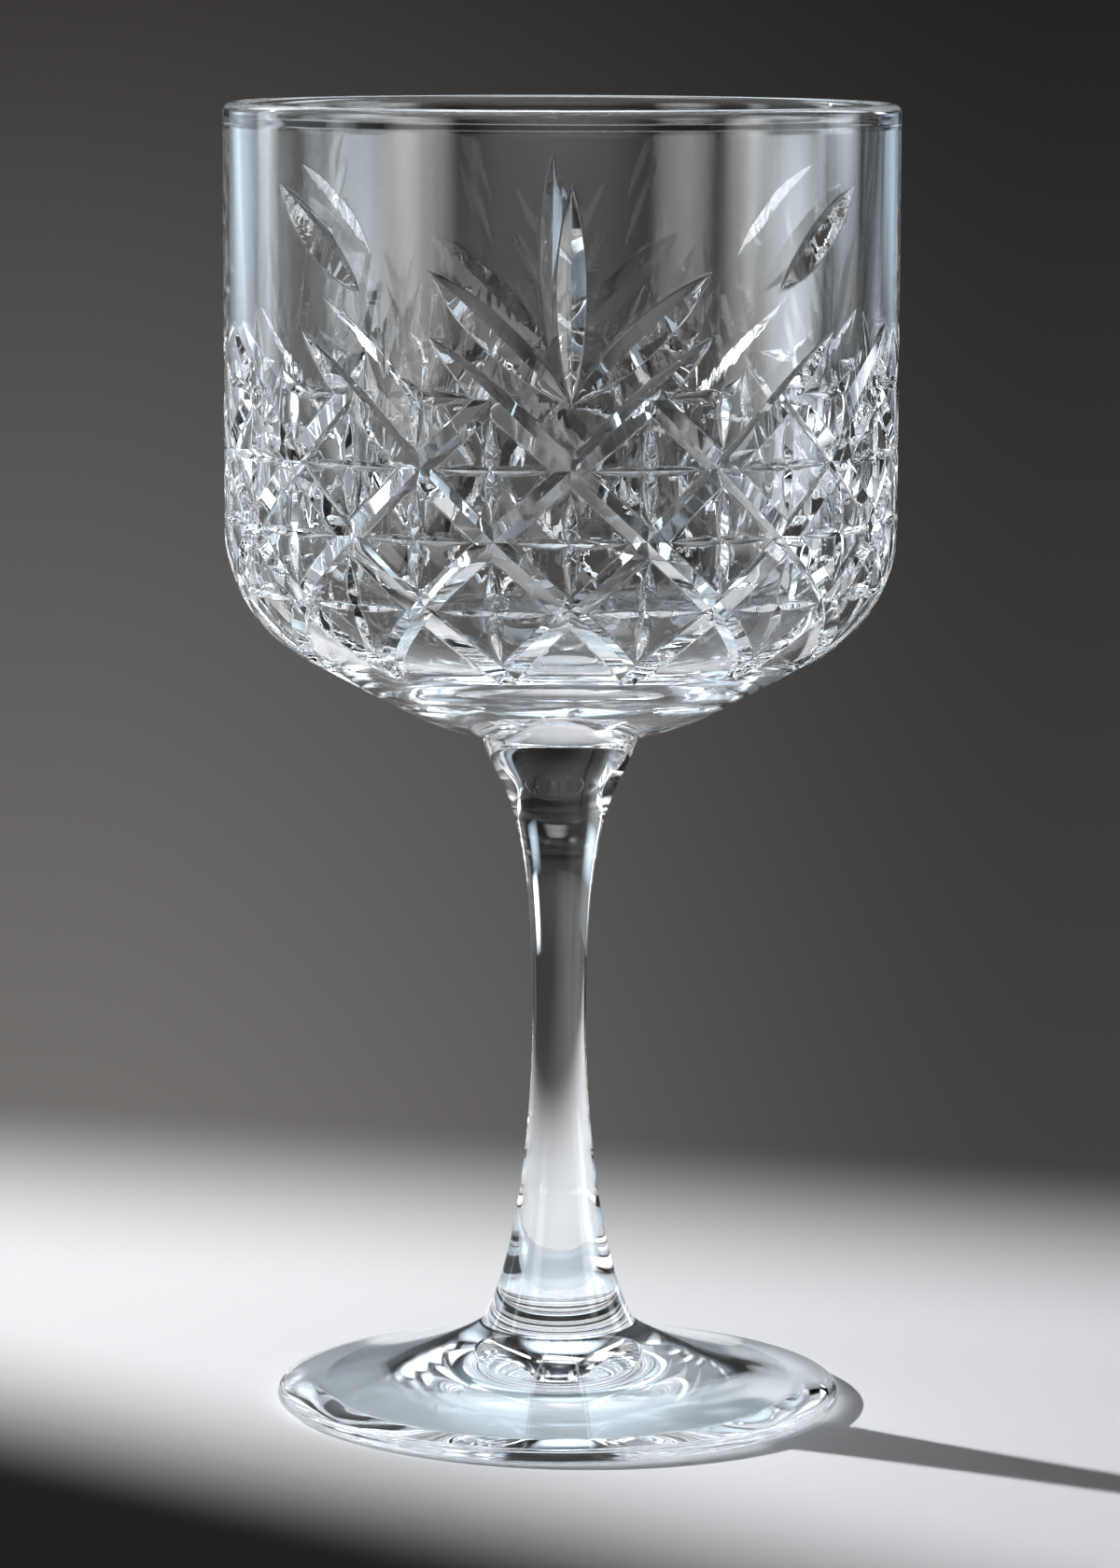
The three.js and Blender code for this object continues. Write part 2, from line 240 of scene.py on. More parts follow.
class Finish(bpy.types.PropertyGroup):
    """Look of the glass"""

    tint: colour("Tint", "Colour of the glass", (0.982, 0.991, 0.998))
    ior: level("Index of refraction", "How strongly the glass bends light", 1.52)
    wave_height: length("Wave height", "Height of the slow waves that pressing leaves", 0.05 * MM)
    facet_height: length("Facet unevenness", "Height of the faint waves on a cut facet", 0.0125 * MM)
    drawn_height: length("Drawn wave height", "Height of the long waves in the stem", 0.025 * MM)
    swirl_height: length("Swirl height", "Height of the wide swirls in the foot", 0.2 * MM)
    mark_height: length("Mark height", "Height of the fine rings that the plunger leaves", 0.002 * MM)


class Stage(bpy.types.PropertyGroup):
    """Floor, light and camera"""

    # The floor's colour is painted lighter towards the key light and darker away from it: a painted falloff
    # of the key's light.
    floor: colour("Floor", "Colour of the lit floor towards the key light", (0.93, 0.94, 0.96))
    floor_painted_darker: colour("Floor away", "Colour of the lit floor away from the key light", (0.73, 0.74, 0.765))
    # Painted fill light: the band glows at this share of its colour, so shadows in it never go dark.
    painted_fill_glow: level("Floor glow", "Light of the band that no shadow takes away", 0.05)
    # Painted light and shade under the glass: the floor glows where the foot and stem would gather light,
    # and is painted darker on the key light's side.
    painted_foot_glow: colour("Glow under the foot", "Light that the foot gathers below itself", (0.72, 0.78, 0.81))
    painted_stem_glow: colour("Glow under the stem", "Light that the stem leads down", (0.32, 0.36, 0.39))
    painted_foot_shade: colour("Shade under the foot", "The same, on the side of the key light", (0.06, 0.11, 0.14))
    # Painted light spilt past the band, lighter on the left and near the glass; it fades into the plain
    # backdrop.
    haze: colour("Haze", "Colour of the floor past the band on the left", (0.20, 0.192, 0.185))
    dim: colour("Dim floor", "Colour of the floor past the band on the right", (0.066, 0.062, 0.060))
    far_haze: colour("Far haze", "Colour of the far floor on the left", (0.040, 0.037, 0.035))
    backdrop: colour("Backdrop", "Colour of the far floor on the right", (0.016, 0.015, 0.014))
    lens: FloatProperty(name="Lens", description="Focal length in millimetres", default=137.33, min=1)
    distance: length("Camera distance", "Level distance from the camera to the axis", 0.9092)
    height: length("Camera height", "Height of the camera", 0.2206)
    pitch: angle("Camera pitch", "How far the camera looks down", 7.802)
    roll: angle("Camera roll", "Turn of the camera about its view", 0.187)
    azimuth: angle("Camera azimuth", "Place of the camera round the axis", -1.6)


class GinGlass(bpy.types.PropertyGroup):
    """Everything that can be set on the glass and its stage"""

    bowl: PointerProperty(type=BowlSizes)
    cuts: PointerProperty(type=CutSizes)
    stem: PointerProperty(type=StemSizes)
    foot: PointerProperty(type=FootSizes)
    finish: PointerProperty(type=Finish)
    stage: PointerProperty(type=Stage)


# Outlines, as (radius, height) points

def arc(radius, height, size, start, end, steps):
    """Points of an arc round (radius, height), without its first point."""
    turns = [start + (end - start) * i / steps for i in range(1, steps + 1)]
    return [(radius + size * math.cos(t), height + size * math.sin(t)) for t in turns]


def curve(start, start_pull, end, end_pull, steps):
    """A cubic curve between two points, without the first. A pull is a (reach, direction) at one end."""
    def handle(point, pull):
        reach, direction = pull
        return Vector(point) + Vector((reach * math.cos(direction), reach * math.sin(direction)))

    a, d = Vector(start), Vector(end)
    b, c = handle(start, start_pull), handle(end, end_pull)
    points = []
    for i in range(1, steps + 1):
        t = i / steps
        s = 1 - t
        points.append(tuple(a * s**3 + b * 3 * s * s * t + c * 3 * s * t * t + d * t**3))
    return points


class BowlShape:
    """The bowl's outline, worked out from its sizes. Heights count from the joint face."""

    def __init__(self, sizes):
        self.sizes = sizes
        self.height = BOWL_HIGH.z - BOWL_LOW.z
        self.base_centre = sizes.joint_radius - sizes.base_round * math.sin(sizes.base_slope)
        self.base_level = sizes.base_round * math.cos(sizes.base_slope)
        cone_start = self.base_centre + sizes.base_round * math.sin(sizes.cone_slope)
        cone_low = self.base_level - sizes.base_round * math.cos(sizes.cone_slope)
        self.shoulder_centre = sizes.wall_radius - sizes.shoulder_radius
        self.cone_end = self.shoulder_centre + sizes.shoulder_radius * math.sin(sizes.cone_slope)
        self.cone_top = cone_low + (self.cone_end - cone_start) * math.tan(sizes.cone_slope)
        self.shoulder_top = self.cone_top + sizes.shoulder_radius * math.cos(sizes.cone_slope)

    def outside(self, z):
        """Radius of the outside at a height above the base, and the tilt of its normal above level."""
        sizes = self.sizes
        if z >= self.shoulder_top:
            return sizes.wall_radius, 0.0
        if z >= self.cone_top:
            tilt = -math.asin((self.shoulder_top - z) / sizes.shoulder_radius)
            return self.shoulder_centre + sizes.shoulder_radius * math.cos(tilt), tilt
        radius = self.cone_end - (self.cone_top - z) / math.tan(sizes.cone_slope)
        return radius, sizes.cone_slope + DOWN

    def points(self):
        """From the middle of the joint face, up the outside and over the lip to the middle of the floor."""
        sizes = self.sizes
        lip = sizes.lip_thickness / 2
        lip_z = self.height - lip
        corner = sizes.shoulder_radius - sizes.shoulder_thickness
        corner_r = sizes.wall_radius - sizes.wall_thickness - corner
        floor_z = sizes.base_thickness + sizes.floor_radius
        floor_end = math.asin(corner_r / (sizes.floor_radius - corner))
        corner_z = floor_z - (sizes.floor_radius - corner) * math.cos(floor_end)
        neck = (sizes.wall_radius - sizes.neck_thickness, self.height - sizes.neck_drop)
        lip_end = (sizes.wall_radius - sizes.lip_thickness, lip_z)
        wall_rise = (lip_z - self.shoulder_top) / WALL_STEPS
        wall = [(sizes.wall_radius, self.shoulder_top + wall_rise * i) for i in range(1, WALL_STEPS + 1)]
        even_pull = sizes.neck_drop / 3
        inner_foot = Vector((corner_r + corner, corner_z))
        inner_wall = [tuple(Vector(neck).lerp(inner_foot, i / WALL_STEPS)) for i in range(1, WALL_STEPS + 1)]
        return [
            (0, 0),
            (sizes.joint_radius, 0),
            *arc(self.base_centre, self.base_level, sizes.base_round,
                 DOWN + sizes.base_slope, DOWN + sizes.cone_slope, ARC_STEPS),
            (self.cone_end, self.cone_top),
            *arc(self.shoulder_centre, self.shoulder_top, sizes.shoulder_radius,
                 DOWN + sizes.cone_slope, 0, ARC_STEPS),
            *wall,
            *arc(sizes.wall_radius - lip, lip_z, lip, 0, math.pi, LIP_STEPS),
            *curve(lip_end, (even_pull, DOWN), neck, (even_pull, -DOWN), LIP_STEPS),
            *inner_wall,
            *arc(corner_r, corner_z, corner, 0, DOWN + floor_end, ARC_STEPS),
            *arc(0, floor_z, sizes.floor_radius, DOWN + floor_end, DOWN, ARC_STEPS),
        ]


def stem_points(sizes):
    """From the middle of the foot joint, up the outside, to the middle of the bowl joint."""
    top = STEM_HIGH.z - STEM_LOW.z
    base = (sizes.base_radius, 0)
    waist = (sizes.waist_radius, sizes.waist_height)
    head = (sizes.head_radius, top)
    return [
        (0, 0),
        base,
        *curve(base, (sizes.base_flare_reach, -DOWN + sizes.base_flare),
               waist, (sizes.base_waist_reach, DOWN), CURVE_STEPS),
        *curve(waist, (sizes.head_waist_reach, -DOWN),
               head, (sizes.head_flare_reach, DOWN - sizes.head_flare), CURVE_STEPS),
        (0, top),
    ]


def foot_points(sizes):
    """From the top of the hollow below, round the edge, to the middle of the stem joint."""
    top = FOOT_HIGH.z - FOOT_LOW.z
    edge = sizes.edge / 2
    edge_r = sizes.radius - edge
    dome = (0, sizes.hollow_depth)
    return [
        dome,
        *curve(dome, (sizes.dome_reach, 0), (edge_r - sizes.ring_width, 0),
               (sizes.hollow_reach, math.pi - sizes.hollow_slope), CURVE_STEPS),
        (edge_r, 0),
        *arc(edge_r, edge, edge, DOWN, -DOWN, LIP_STEPS),
        *curve((edge_r, sizes.edge), (sizes.edge_reach, math.pi - sizes.edge_slope),
               (sizes.joint_radius, top), (sizes.top_reach, -sizes.top_slope), CURVE_STEPS),
        (0, top),
    ]


# Modelling

def pick(piece):
    """Selects one piece alone."""
    bpy.ops.object.select_all(action="DESELECT")
    piece.select_set(True)
    bpy.context.view_layer.objects.active = piece


def turned_piece(name, outline, low, sides):
    """Extrudes an outline from a single vertex, and spins it round the axis into a closed piece."""
    bpy.ops.object.select_all(action="DESELECT")
    bpy.ops.mesh.primitive_plane_add(size=MM)
    piece = bpy.context.object
    piece.name = piece.data.name = name
    bpy.ops.object.mode_set(mode="EDIT")
    bpy.ops.mesh.merge(type="CENTER")
    radius, height = outline[0]
    bpy.ops.transform.translate(value=(radius, 0, low + height))
    for (r0, z0), (r1, z1) in zip(outline, outline[1:]):
        bpy.ops.mesh.extrude_vertices_move(TRANSFORM_OT_translate={"value": (r1 - r0, 0, z1 - z0)})
    bpy.ops.mesh.select_all(action="SELECT")
    bpy.ops.mesh.spin(steps=sides, angle=FULL_TURN, center=(0, 0, 0), axis=(0, 0, 1))
    bpy.ops.mesh.select_all(action="SELECT")
    bpy.ops.mesh.remove_doubles(threshold=SAME_PLACE)
    bpy.ops.mesh.normals_make_consistent(inside=False)
    bpy.ops.object.mode_set(mode="OBJECT")
    return piece


def mark_joint(piece, *heights):
    """Gives the flat faces that are fused to a neighbour their own material slot."""
    for face in piece.data.polygons:
        level_face = abs(face.normal.z) > LEVEL_NORMAL
        if level_face and any(abs(face.center.z - height) < SAME_PLACE for height in heights):
            face.material_index = JOINT_SLOT


Stop = namedtuple("Stop", "angle height depth")


class Cutter:
    """Lays V-shaped bars on the bowl's outside, for the grooves, leaves and stars that are cut into it."""

    # How far a bar reaches above the glass, and how far its valley lifts off where a cut runs out
    HEADROOM = 0.6 * MM
    LIFT = 0.03 * MM

    # A facet's least depth, the most of a cut's depth that its soft edge takes, and how much flatter it is
    LEAST_FACET = 0.05 * MM
    SOFT_SHARE = 0.35
    SOFT_FLARE = 3

    CORNERS = 5

    def __init__(self, shape, cuts, material):
        self.shape = shape
        self.cuts = cuts
        self.material = material
        self.collection = bpy.data.collections.new("cutters")
        bpy.context.scene.collection.children.link(self.collection)

    def section(self, depth, flare):
        """Corners of the bar's section, as (sideways, outwards), round from the valley."""
        soft = min(self.cuts.soft_edge, self.SOFT_SHARE * max(depth, 0))
        facet = max(depth - soft, self.LEAST_FACET)
        edge = facet * flare
        top = edge + (self.HEADROOM + depth - facet) * flare * self.SOFT_FLARE
        rise = facet - depth
        return [(0, -depth), (edge, rise), (top, self.HEADROOM), (-top, self.HEADROOM), (-edge, rise)]

    def straight_bar(self, name, stations):
        """A five-sided bar along z with a ring of corners at each station, one metre apart."""
        bpy.ops.object.select_all(action="DESELECT")
        bpy.ops.mesh.primitive_cylinder_add(vertices=self.CORNERS, depth=stations - 1, end_fill_type="NGON")
        bar = bpy.context.object
        bar.name = bar.data.name = name
        bpy.ops.object.mode_set(mode="EDIT")
        bpy.ops.mesh.select_mode(type="EDGE")
        bpy.ops.mesh.select_all(action="DESELECT")
        mesh = bmesh.from_edit_mesh(bar.data)
        for edge in mesh.edges:
            edge.select = abs(edge.verts[0].co.z - edge.verts[1].co.z) > SAME_PLACE
        bpy.ops.mesh.subdivide(number_cuts=stations - 2)
        bpy.ops.mesh.select_mode(type="VERT")
        bpy.ops.object.mode_set(mode="OBJECT")
        return bar

    def lay(self, name, stops, width, depth):
        """Bends a straight bar along its stops on the bowl's outside."""
        flare = width / 2 / (depth + (self.SOFT_FLARE - 1) * self.cuts.soft_edge)
        spots = []
        for stop in stops:
            radius, tilt = self.shape.outside(stop.height)
            out = Vector((math.sin(stop.angle), -math.cos(stop.angle), 0))
            normal = out * math.cos(tilt) + Vector((0, 0, math.sin(tilt)))
            spots.append((out * radius + Vector((0, 0, BOWL_LOW.z + stop.height)), normal))
        rings = []
        for i, (place, normal) in enumerate(spots):
            before = spots[max(i - 1, 0)][0]
            after = spots[min(i + 1, len(spots) - 1)][0]
            side = (after - before).cross(normal).normalized()
            corners = self.section(stops[i].depth, flare)
            rings.append([place + side * across + normal * rise for across, rise in corners])
        bar = self.straight_bar(name, len(stops))
        middle = (len(stops) - 1) / 2
        for vertex in bar.data.vertices:
            ring = rings[round(vertex.co.z + middle)]
            turn = math.atan2(vertex.co.x, vertex.co.y) / FULL_TURN
            vertex.co = ring[round(turn * self.CORNERS) % self.CORNERS]
        bpy.ops.object.mode_set(mode="EDIT")
        bpy.ops.mesh.select_all(action="SELECT")
        bpy.ops.mesh.normals_make_consistent(inside=False)
        bpy.ops.object.mode_set(mode="OBJECT")
        bar.data.materials.append(self.material)
        bpy.context.scene.collection.objects.unlink(bar)
        return bar

    def place(self, bar, angles):
        """Puts a copy of a bar at each angle round the bowl."""
        for turn in angles:
            copy = bar.copy()
            copy.data = bar.data.copy()
            copy.data.transform(Matrix.Rotation(turn, 4, "Z"))
            self.collection.objects.link(copy)
        bpy.data.objects.remove(bar)

    def cut(self, piece):
        """Cuts every bar out of a piece, and clears the bars away."""
        pick(piece)
        bpy.ops.object.modifier_add(type="BOOLEAN")
        boolean = piece.modifiers[-1]
        boolean.operation = "DIFFERENCE"
        boolean.operand_type = "COLLECTION"
        boolean.collection = self.collection
        boolean.solver = "MANIFOLD"
        boolean.material_mode = "TRANSFER"
        bpy.ops.object.modifier_apply(modifier=boolean.name)
        for bar in list(self.collection.objects):
            bpy.data.objects.remove(bar)
        bpy.data.collections.remove(self.collection)


class Pattern:
    """The cut pattern: a net of slanting grooves, stars in its diamonds, and leaves above it."""

    CENTRE_ROW = 3
    TOP_ROW = 4

    # A star's arm is deepest at this share of its length from the hub, and then thins by this power
    STAR_PEAK = 0.3
    STAR_TAPER = 1.5

    def __init__(self, cutter, cuts, wall_radius):
        self.cutter = cutter
        self.cuts = cuts
        self.columns = cuts.fans * cuts.fan_columns
        self.column_angle = FULL_TURN / self.columns
        self.wall_radius = wall_radius
        self.star_tall = cuts.row_pitch - cuts.star_gap
        self.star_level = self.column_angle / 2 - cuts.star_gap / wall_radius

    def row_height(self, row):
        return self.cuts.net_base + row * self.cuts.row_pitch

    def stop(self, column, row, depth):
        return Stop(column * self.column_angle, self.row_height(row), depth)

    def columns_from_fan(self, column):
        """Columns from the nearest fan: 0 under it, positive to its right as seen from outside."""
        reach = (self.cuts.fan_columns - 1) // 2
        return (column + reach) % self.cuts.fan_columns - reach

    def turns(self, wanted):
        """Angles of the columns whose place beside their fan is wanted."""
        return [
            column * self.column_angle
            for column in range(self.columns)
            if wanted(self.columns_from_fan(column))
        ]

    def leaf_end_depth(self, t):
        """Depth of a line that ends in a leaf, by the share of the way from its last crossing to its tip."""
        cuts = self.cuts
        if t < cuts.leaf_swell:
            ease = t / cuts.leaf_swell
            ease = ease * ease * (3 - 2 * ease)
            return cuts.groove_depth + (cuts.leaf_depth - cuts.groove_depth) * ease
        past = (t - cuts.leaf_swell) / (1 - cuts.leaf_swell)
        return (cuts.leaf_depth + Cutter.LIFT) * (1 - past * past) - Cutter.LIFT

    def net_line(self, lean, ends_in_leaf):
        """One slanting line of column 0, from its lowest point up to the top row or on to a leaf's tip."""
        cuts = self.cuts
        run_out = cuts.groove_run_out / cuts.row_pitch

        def on_line(row, depth):
            return self.stop(lean * (row - self.CENTRE_ROW) / 2, row, depth)

        last_row = self.CENTRE_ROW if ends_in_leaf else self.TOP_ROW
        rows = [i / STATIONS_PER_ROW for i in range(last_row * STATIONS_PER_ROW)]
        stops = [on_line(-run_out, -Cutter.LIFT), *[on_line(row, cuts.groove_depth) for row in rows]]
        if ends_in_leaf:
            for i in range(LEAF_STATIONS + 1):
                t = i / LEAF_STATIONS
                row = self.CENTRE_ROW + t * cuts.leaf_rise / cuts.row_pitch
                stops.append(on_line(row, self.leaf_end_depth(t)))
        else:
            stops += [on_line(last_row, cuts.groove_depth), on_line(last_row + run_out, -Cutter.LIFT)]
        return self.cutter.lay("net_line", stops, cuts.groove_width, cuts.groove_depth)

    def leaf(self, name, start, end, width, depth, depth_at, stations):
        """A cut between two (angle, height) places; depth_at gives its depth, as a share, along the way."""
        stops = []
        for i in range(stations + 1):
            t = i / stations
            turn, height = Vector(start).lerp(Vector(end), t)
            stops.append(Stop(turn, height, (depth + Cutter.LIFT) * depth_at(t) - Cutter.LIFT))
        return self.cutter.lay(name, stops, width, depth)

    @staticmethod
    def lens(t):
        """Depth of a leaf along its length: deepest half way, running out at both ends."""
        return HUMP_SCALE * t * (1 - t)

    def pinched(self, t):
        """Depth of a star's cut along its length: two long leaves, pinched at the hub between them."""
        from_hub = abs(2 * t - 1)
        if from_hub < self.STAR_PEAK:
            rise = from_hub / self.STAR_PEAK
            return self.cuts.star_waist + (1 - self.cuts.star_waist) * rise * (2 - rise)
        past = (from_hub - self.STAR_PEAK) / (1 - self.STAR_PEAK)
        return 1 - past ** self.STAR_TAPER

    def arm(self, t):
        """Depth of one arm of a star from its hub to its tip."""
        return self.pinched((1 + t) / 2)

    def lay_net(self):
        for lean in (1, -1):
            with_leaf = self.turns(lambda side: side * lean >= 0)
            without = self.turns(lambda side: side * lean < 0)
            self.cutter.place(self.net_line(lean, True), with_leaf)
            self.cutter.place(self.net_line(lean, False), without)

    def lay_stars(self):
        cuts = self.cuts
        for row in range(1, self.CENTRE_ROW + 1):
            height = self.row_height(row)
            shift = row % 2 * self.column_angle / 2
            turns = [shift + turn for turn in self.turns(lambda side: True)]
            tall = (0, height - self.star_tall), (0, height + self.star_tall)
            level_ends = (-self.star_level, height), (self.star_level, height)
            tall_bar = self.leaf("star_tall", *tall, cuts.star_tall_width, cuts.star_tall_depth,
                                 self.pinched, STAR_STATIONS)
            level_bar = self.leaf("star_level", *level_ends, cuts.star_level_width, cuts.star_level_depth,
                                  self.pinched, STAR_STATIONS)
            self.cutter.place(tall_bar, turns)
            self.cutter.place(level_bar, turns)

    def lay_half_stars(self):
        """What the net's top edge leaves of a star: arms down and towards the fan, and a point outwards."""
        cuts = self.cuts
        height = self.row_height(self.TOP_ROW)
        slant = cuts.half_star_point / math.sqrt(2)
        for outward in (1, -1):
            turns = self.turns(lambda side: side * outward > 0)
            ends = [
                (0, height - self.star_tall),
                (-outward * self.star_level, height),
                (outward * slant / self.wall_radius, height + slant),
            ]
            for end in ends:
                bar = self.leaf("half_star", (0, height), end, cuts.star_tall_width, cuts.star_tall_depth,
                                self.arm, STAR_STATIONS)
                self.cutter.place(bar, turns)

    def lay_fans(self):
        """An upright leaf, a slanting pair from the same root and a pair high on the wall."""
        cuts = self.cuts
        turns = self.turns(lambda side: side == 0)
        centre = self.row_height(self.CENTRE_ROW)
        root = (0, centre + cuts.fan_lift)
        per_height = self.column_angle / 2 / cuts.row_pitch
        upright = (0, root[1] + cuts.upright_rise)
        leaves = [(root, upright, cuts.upright_width)]
        for lean in (1, -1):
            tip = (lean * cuts.leaf_rise * per_height, root[1] + cuts.leaf_rise)
            middle = Vector((lean * cuts.high_column * self.column_angle, centre + cuts.high_lift))
            half = Vector((lean * cuts.high_rise * per_height, cuts.high_rise)) / 2
            leaves.append((root, tip, cuts.leaf_width))
            leaves.append((middle - half, middle + half, cuts.leaf_width))
        for start, end, width in leaves:
            bar = self.leaf("leaf", start, end, width, cuts.leaf_depth, self.lens, LEAF_STATIONS)
            self.cutter.place(bar, turns)


def smooth(piece, sharpest):
    """Shades a piece smooth, apart from edges that turn more than an angle."""
    pick(piece)
    bpy.ops.object.shade_smooth_by_angle(angle=sharpest)


def weigh_normals(piece):
    """Lets the wide faces rule the shading, so that the narrow ones beside them look rounded."""
    bpy.ops.object.modifier_add(type="WEIGHTED_NORMAL")
    modifier = piece.modifiers[-1]
    modifier.mode = "FACE_AREA"
    modifier.keep_sharp = True
    bpy.ops.object.modifier_apply(modifier=modifier.name)


def carry(piece, node):
    """Lets a finished piece stand for its construction node."""
    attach(piece, "root")
    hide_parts(node)


# Finishes

# Noise that makes the glass uneven: waves per metre along each axis, and the finer layers that it carries
Waves = namedtuple("Waves", "per_metre layers")
PRESSED_WAVES = Waves((90, 90, 25), 1)
PLUNGER_RINGS = Waves((60, 60, 1800), 0)
FACET_WAVES = Waves((220, 220, 220), 1)
DRAWN_WAVES = Waves((120, 120, 60), 1)
FOOT_SWIRLS = Waves((55, 55, 55), 0)


def new_material(name):
    material = bpy.data.materials.new(name)
    material.use_nodes = True
    material.node_tree.nodes.clear()
    return material, material.node_tree.nodes, material.node_tree.links


def glass_shader(nodes, links, finish):
    """A clear glass shader joined to the material's output."""
    shader = nodes.new("ShaderNodeBsdfPrincipled")
    shader.inputs["Base Color"].default_value = (*finish.tint, 1)
    shader.inputs["Roughness"].default_value = 0
    shader.inputs["IOR"].default_value = finish.ior
    shader.inputs["Transmission Weight"].default_value = 1
    output = nodes.new("ShaderNodeOutputMaterial")
    links.new(shader.outputs["BSDF"], output.inputs["Surface"])
    return shader


def wave_bump(nodes, links, waves, height):
    """A bump node fed by waves of a height."""
    place = nodes.new("ShaderNodeTexCoord")
    mapping = nodes.new("ShaderNodeMapping")
    mapping.inputs["Scale"].default_value = waves.per_metre
    noise = nodes.new("ShaderNodeTexNoise")
    noise.inputs["Scale"].default_value = 1
    noise.inputs["Detail"].default_value = waves.layers
    bump = nodes.new("ShaderNodeBump")
    bump.inputs["Strength"].default_value = 1
    bump.inputs["Distance"].default_value = height
    links.new(place.outputs["Object"], mapping.inputs["Vector"])
    links.new(mapping.outputs["Vector"], noise.inputs["Vector"])
    links.new(noise.outputs["Fac"], bump.inputs["Height"])
    return bump


def uneven_glass(name, finish, *bumps):
    """Clear glass under bumps laid one over another, each given as its waves and their height."""
    material, nodes, links = new_material(name)
    shader = glass_shader(nodes, links, finish)
    over = shader
    for waves, height in reversed(bumps):
        bump = wave_bump(nodes, links, waves, height)
        links.new(bump.outputs["Normal"], over.inputs["Normal"])
        over = bump
    return material


def pressed_glass(finish):
    """Glass as the mould leaves it: slow upright waves, and the plunger's fine level rings."""
    waves = (PRESSED_WAVES, finish.wave_height)
    rings = (PLUNGER_RINGS, finish.mark_height)
    return uneven_glass("pressed_glass", finish, waves, rings)


def cut_glass(finish):
    """Glass of the cut facets: flat and bright, with a faint unevenness."""
    return uneven_glass("cut_glass", finish, (FACET_WAVES, finish.facet_height))


def drawn_glass(finish):
    """Glass of the stem, smooth from the fire, with long faint waves."""
    return uneven_glass("drawn_glass", finish, (DRAWN_WAVES, finish.drawn_height))


def flowing_glass(finish):
    """Glass of the foot, which ran while it was soft and set in wide swirls."""
    return uneven_glass("flowing_glass", finish, (FOOT_SWIRLS, finish.swirl_height))


def fused_joint():
    """The face between two fused pieces, where the glass goes on unbroken."""
    material, nodes, links = new_material("fused_joint")
    clear = nodes.new("ShaderNodeBsdfTransparent")
    output = nodes.new("ShaderNodeOutputMaterial")
    links.new(clear.outputs["BSDF"], output.inputs["Surface"])
    return material


# Stage

# Edges of painted tones on the floor: a direction across the edge, and the two places along it where the
# tone is gone and where it is full. Two bound the painted band of light, and one is the floor colour's
# painted slow rise towards the key light.
PAINTED_BAND_FRONT = (Vector((0.66, 0.75, 0)), (-94 * MM, -15 * MM))
PAINTED_BAND_BACK = (Vector((0.313, 0.95, 0)), (206 * MM, 56 * MM))
PAINTED_RISE_TO_KEY = (Vector((0.83, -0.57, 0)), (120 * MM, -120 * MM))

# Distances from the axis where the painted glow under the foot, and the one under the stem, are gone and
# full
PAINTED_FOOT_GLOW_REACH = (43 * MM, 37 * MM)
PAINTED_STEM_GLOW_REACH = (17 * MM, 9 * MM)

# The edge along which the foot's painted glow comes up out of its painted shade, and how far swirls fray it.
# The swirls: how many in a metre, how many finer layers, how far they are bent, and their mean level.
PAINTED_FOOT_GLOW_EDGE = (Vector((1, 0.1, 0)), (12 * MM, 38 * MM))
PAINTED_FOOT_GLOW_FRAY = 80 * MM
SWIRLS_PER_METRE = 45
SWIRL_LAYERS = 1
SWIRL_BEND = 1.5
SWIRL_MEAN = 0.5

# The painted haze of spilt light past the band: the place that it spreads from, the bearings from there
# (sideways by ahead) where it is gone and full, and the distance over which it falls to half
HAZE_CENTRE = Vector((-0.025, -0.91, 0))
HAZE_BEARING = (0.115, -0.06)
HAZE_REACH = 1

FLOOR_DROP = 0.2 * MM
FLOOR_RADIUS = 40
FLOOR_SIDES = 96

# Lamps: a place, a width and height, how bright the surface is, a tint and the point that the lamp faces
WHITE = (1, 1, 1)
COOL = (0.86, 0.94, 1)
BLUE = (0.68, 0.85, 1)
PANEL_AIM = (0, 0, 0.12)
Lamp = namedtuple("Lamp", "name place size radiance tint aim", defaults=(WHITE, PANEL_AIM))
KEY = Lamp("key", (-2.67, 1.82, 1.45), (0.087, 0.087), 10100, aim=(0, 0, 0))

# The key lamp alone lights the floor. The panels show in the glass alone.
PANELS = (
    Lamp("left_wall", (-0.57, 0.2, 0.42), (1.3, 1.1), 0.5, COOL, aim=(0, 0, 0.3)),
    Lamp("left_strip", (-0.53, 0.28, 0.3), (0.12, 0.6), 3.8, COOL),
    Lamp("left_side_strip", (-0.6, -0.1, 0.25), (0.1, 0.5), 2.8, COOL),
    Lamp("left_rim", (-0.41, 0.44, 0.16), (0.34, 0.16), 1.1, BLUE),
    Lamp("left_back", (-0.42, 0.42, 0.53), (0.24, 0.32), 6.5, COOL),
    Lamp("right_rim", (0.32, 0.51, 0.16), (0.18, 0.15), 0.9, BLUE),
    Lamp("right_low", (0.6, -0.1, 0.1), (0.3, 0.26), 6.5, COOL, aim=(0, 0, 0.1)),
    Lamp("right_back_low", (0.37, 0.46, 0.05), (0.16, 0.1), 3.2, COOL, aim=(0, 0, 0.05)),
    Lamp("right_wall", (0.6, 0.16, 0.27), (0.24, 0.34), 4.2, COOL),
    Lamp("right_back", (0.5, 0.33, 0.6), (0.28, 0.5), 8.5, COOL),
    Lamp("overhead", (-0.1, 0.35, 1.2), (0.8, 0.5), 6.5),
    Lamp("back_high", (-0.03, 0.62, 0.68), (0.6, 0.4), 3.2, BLUE),
    Lamp("front_left_panel", (-0.68, -0.59, 0.25), (0.42, 0.5), 3.3),
    Lamp("front_right_panel", (0.8, -0.41, 0.25), (0.34, 0.5), 4),
    Lamp("front_fill", (0, -1.3, 0.5), (1.6, 1), 0.9),
)

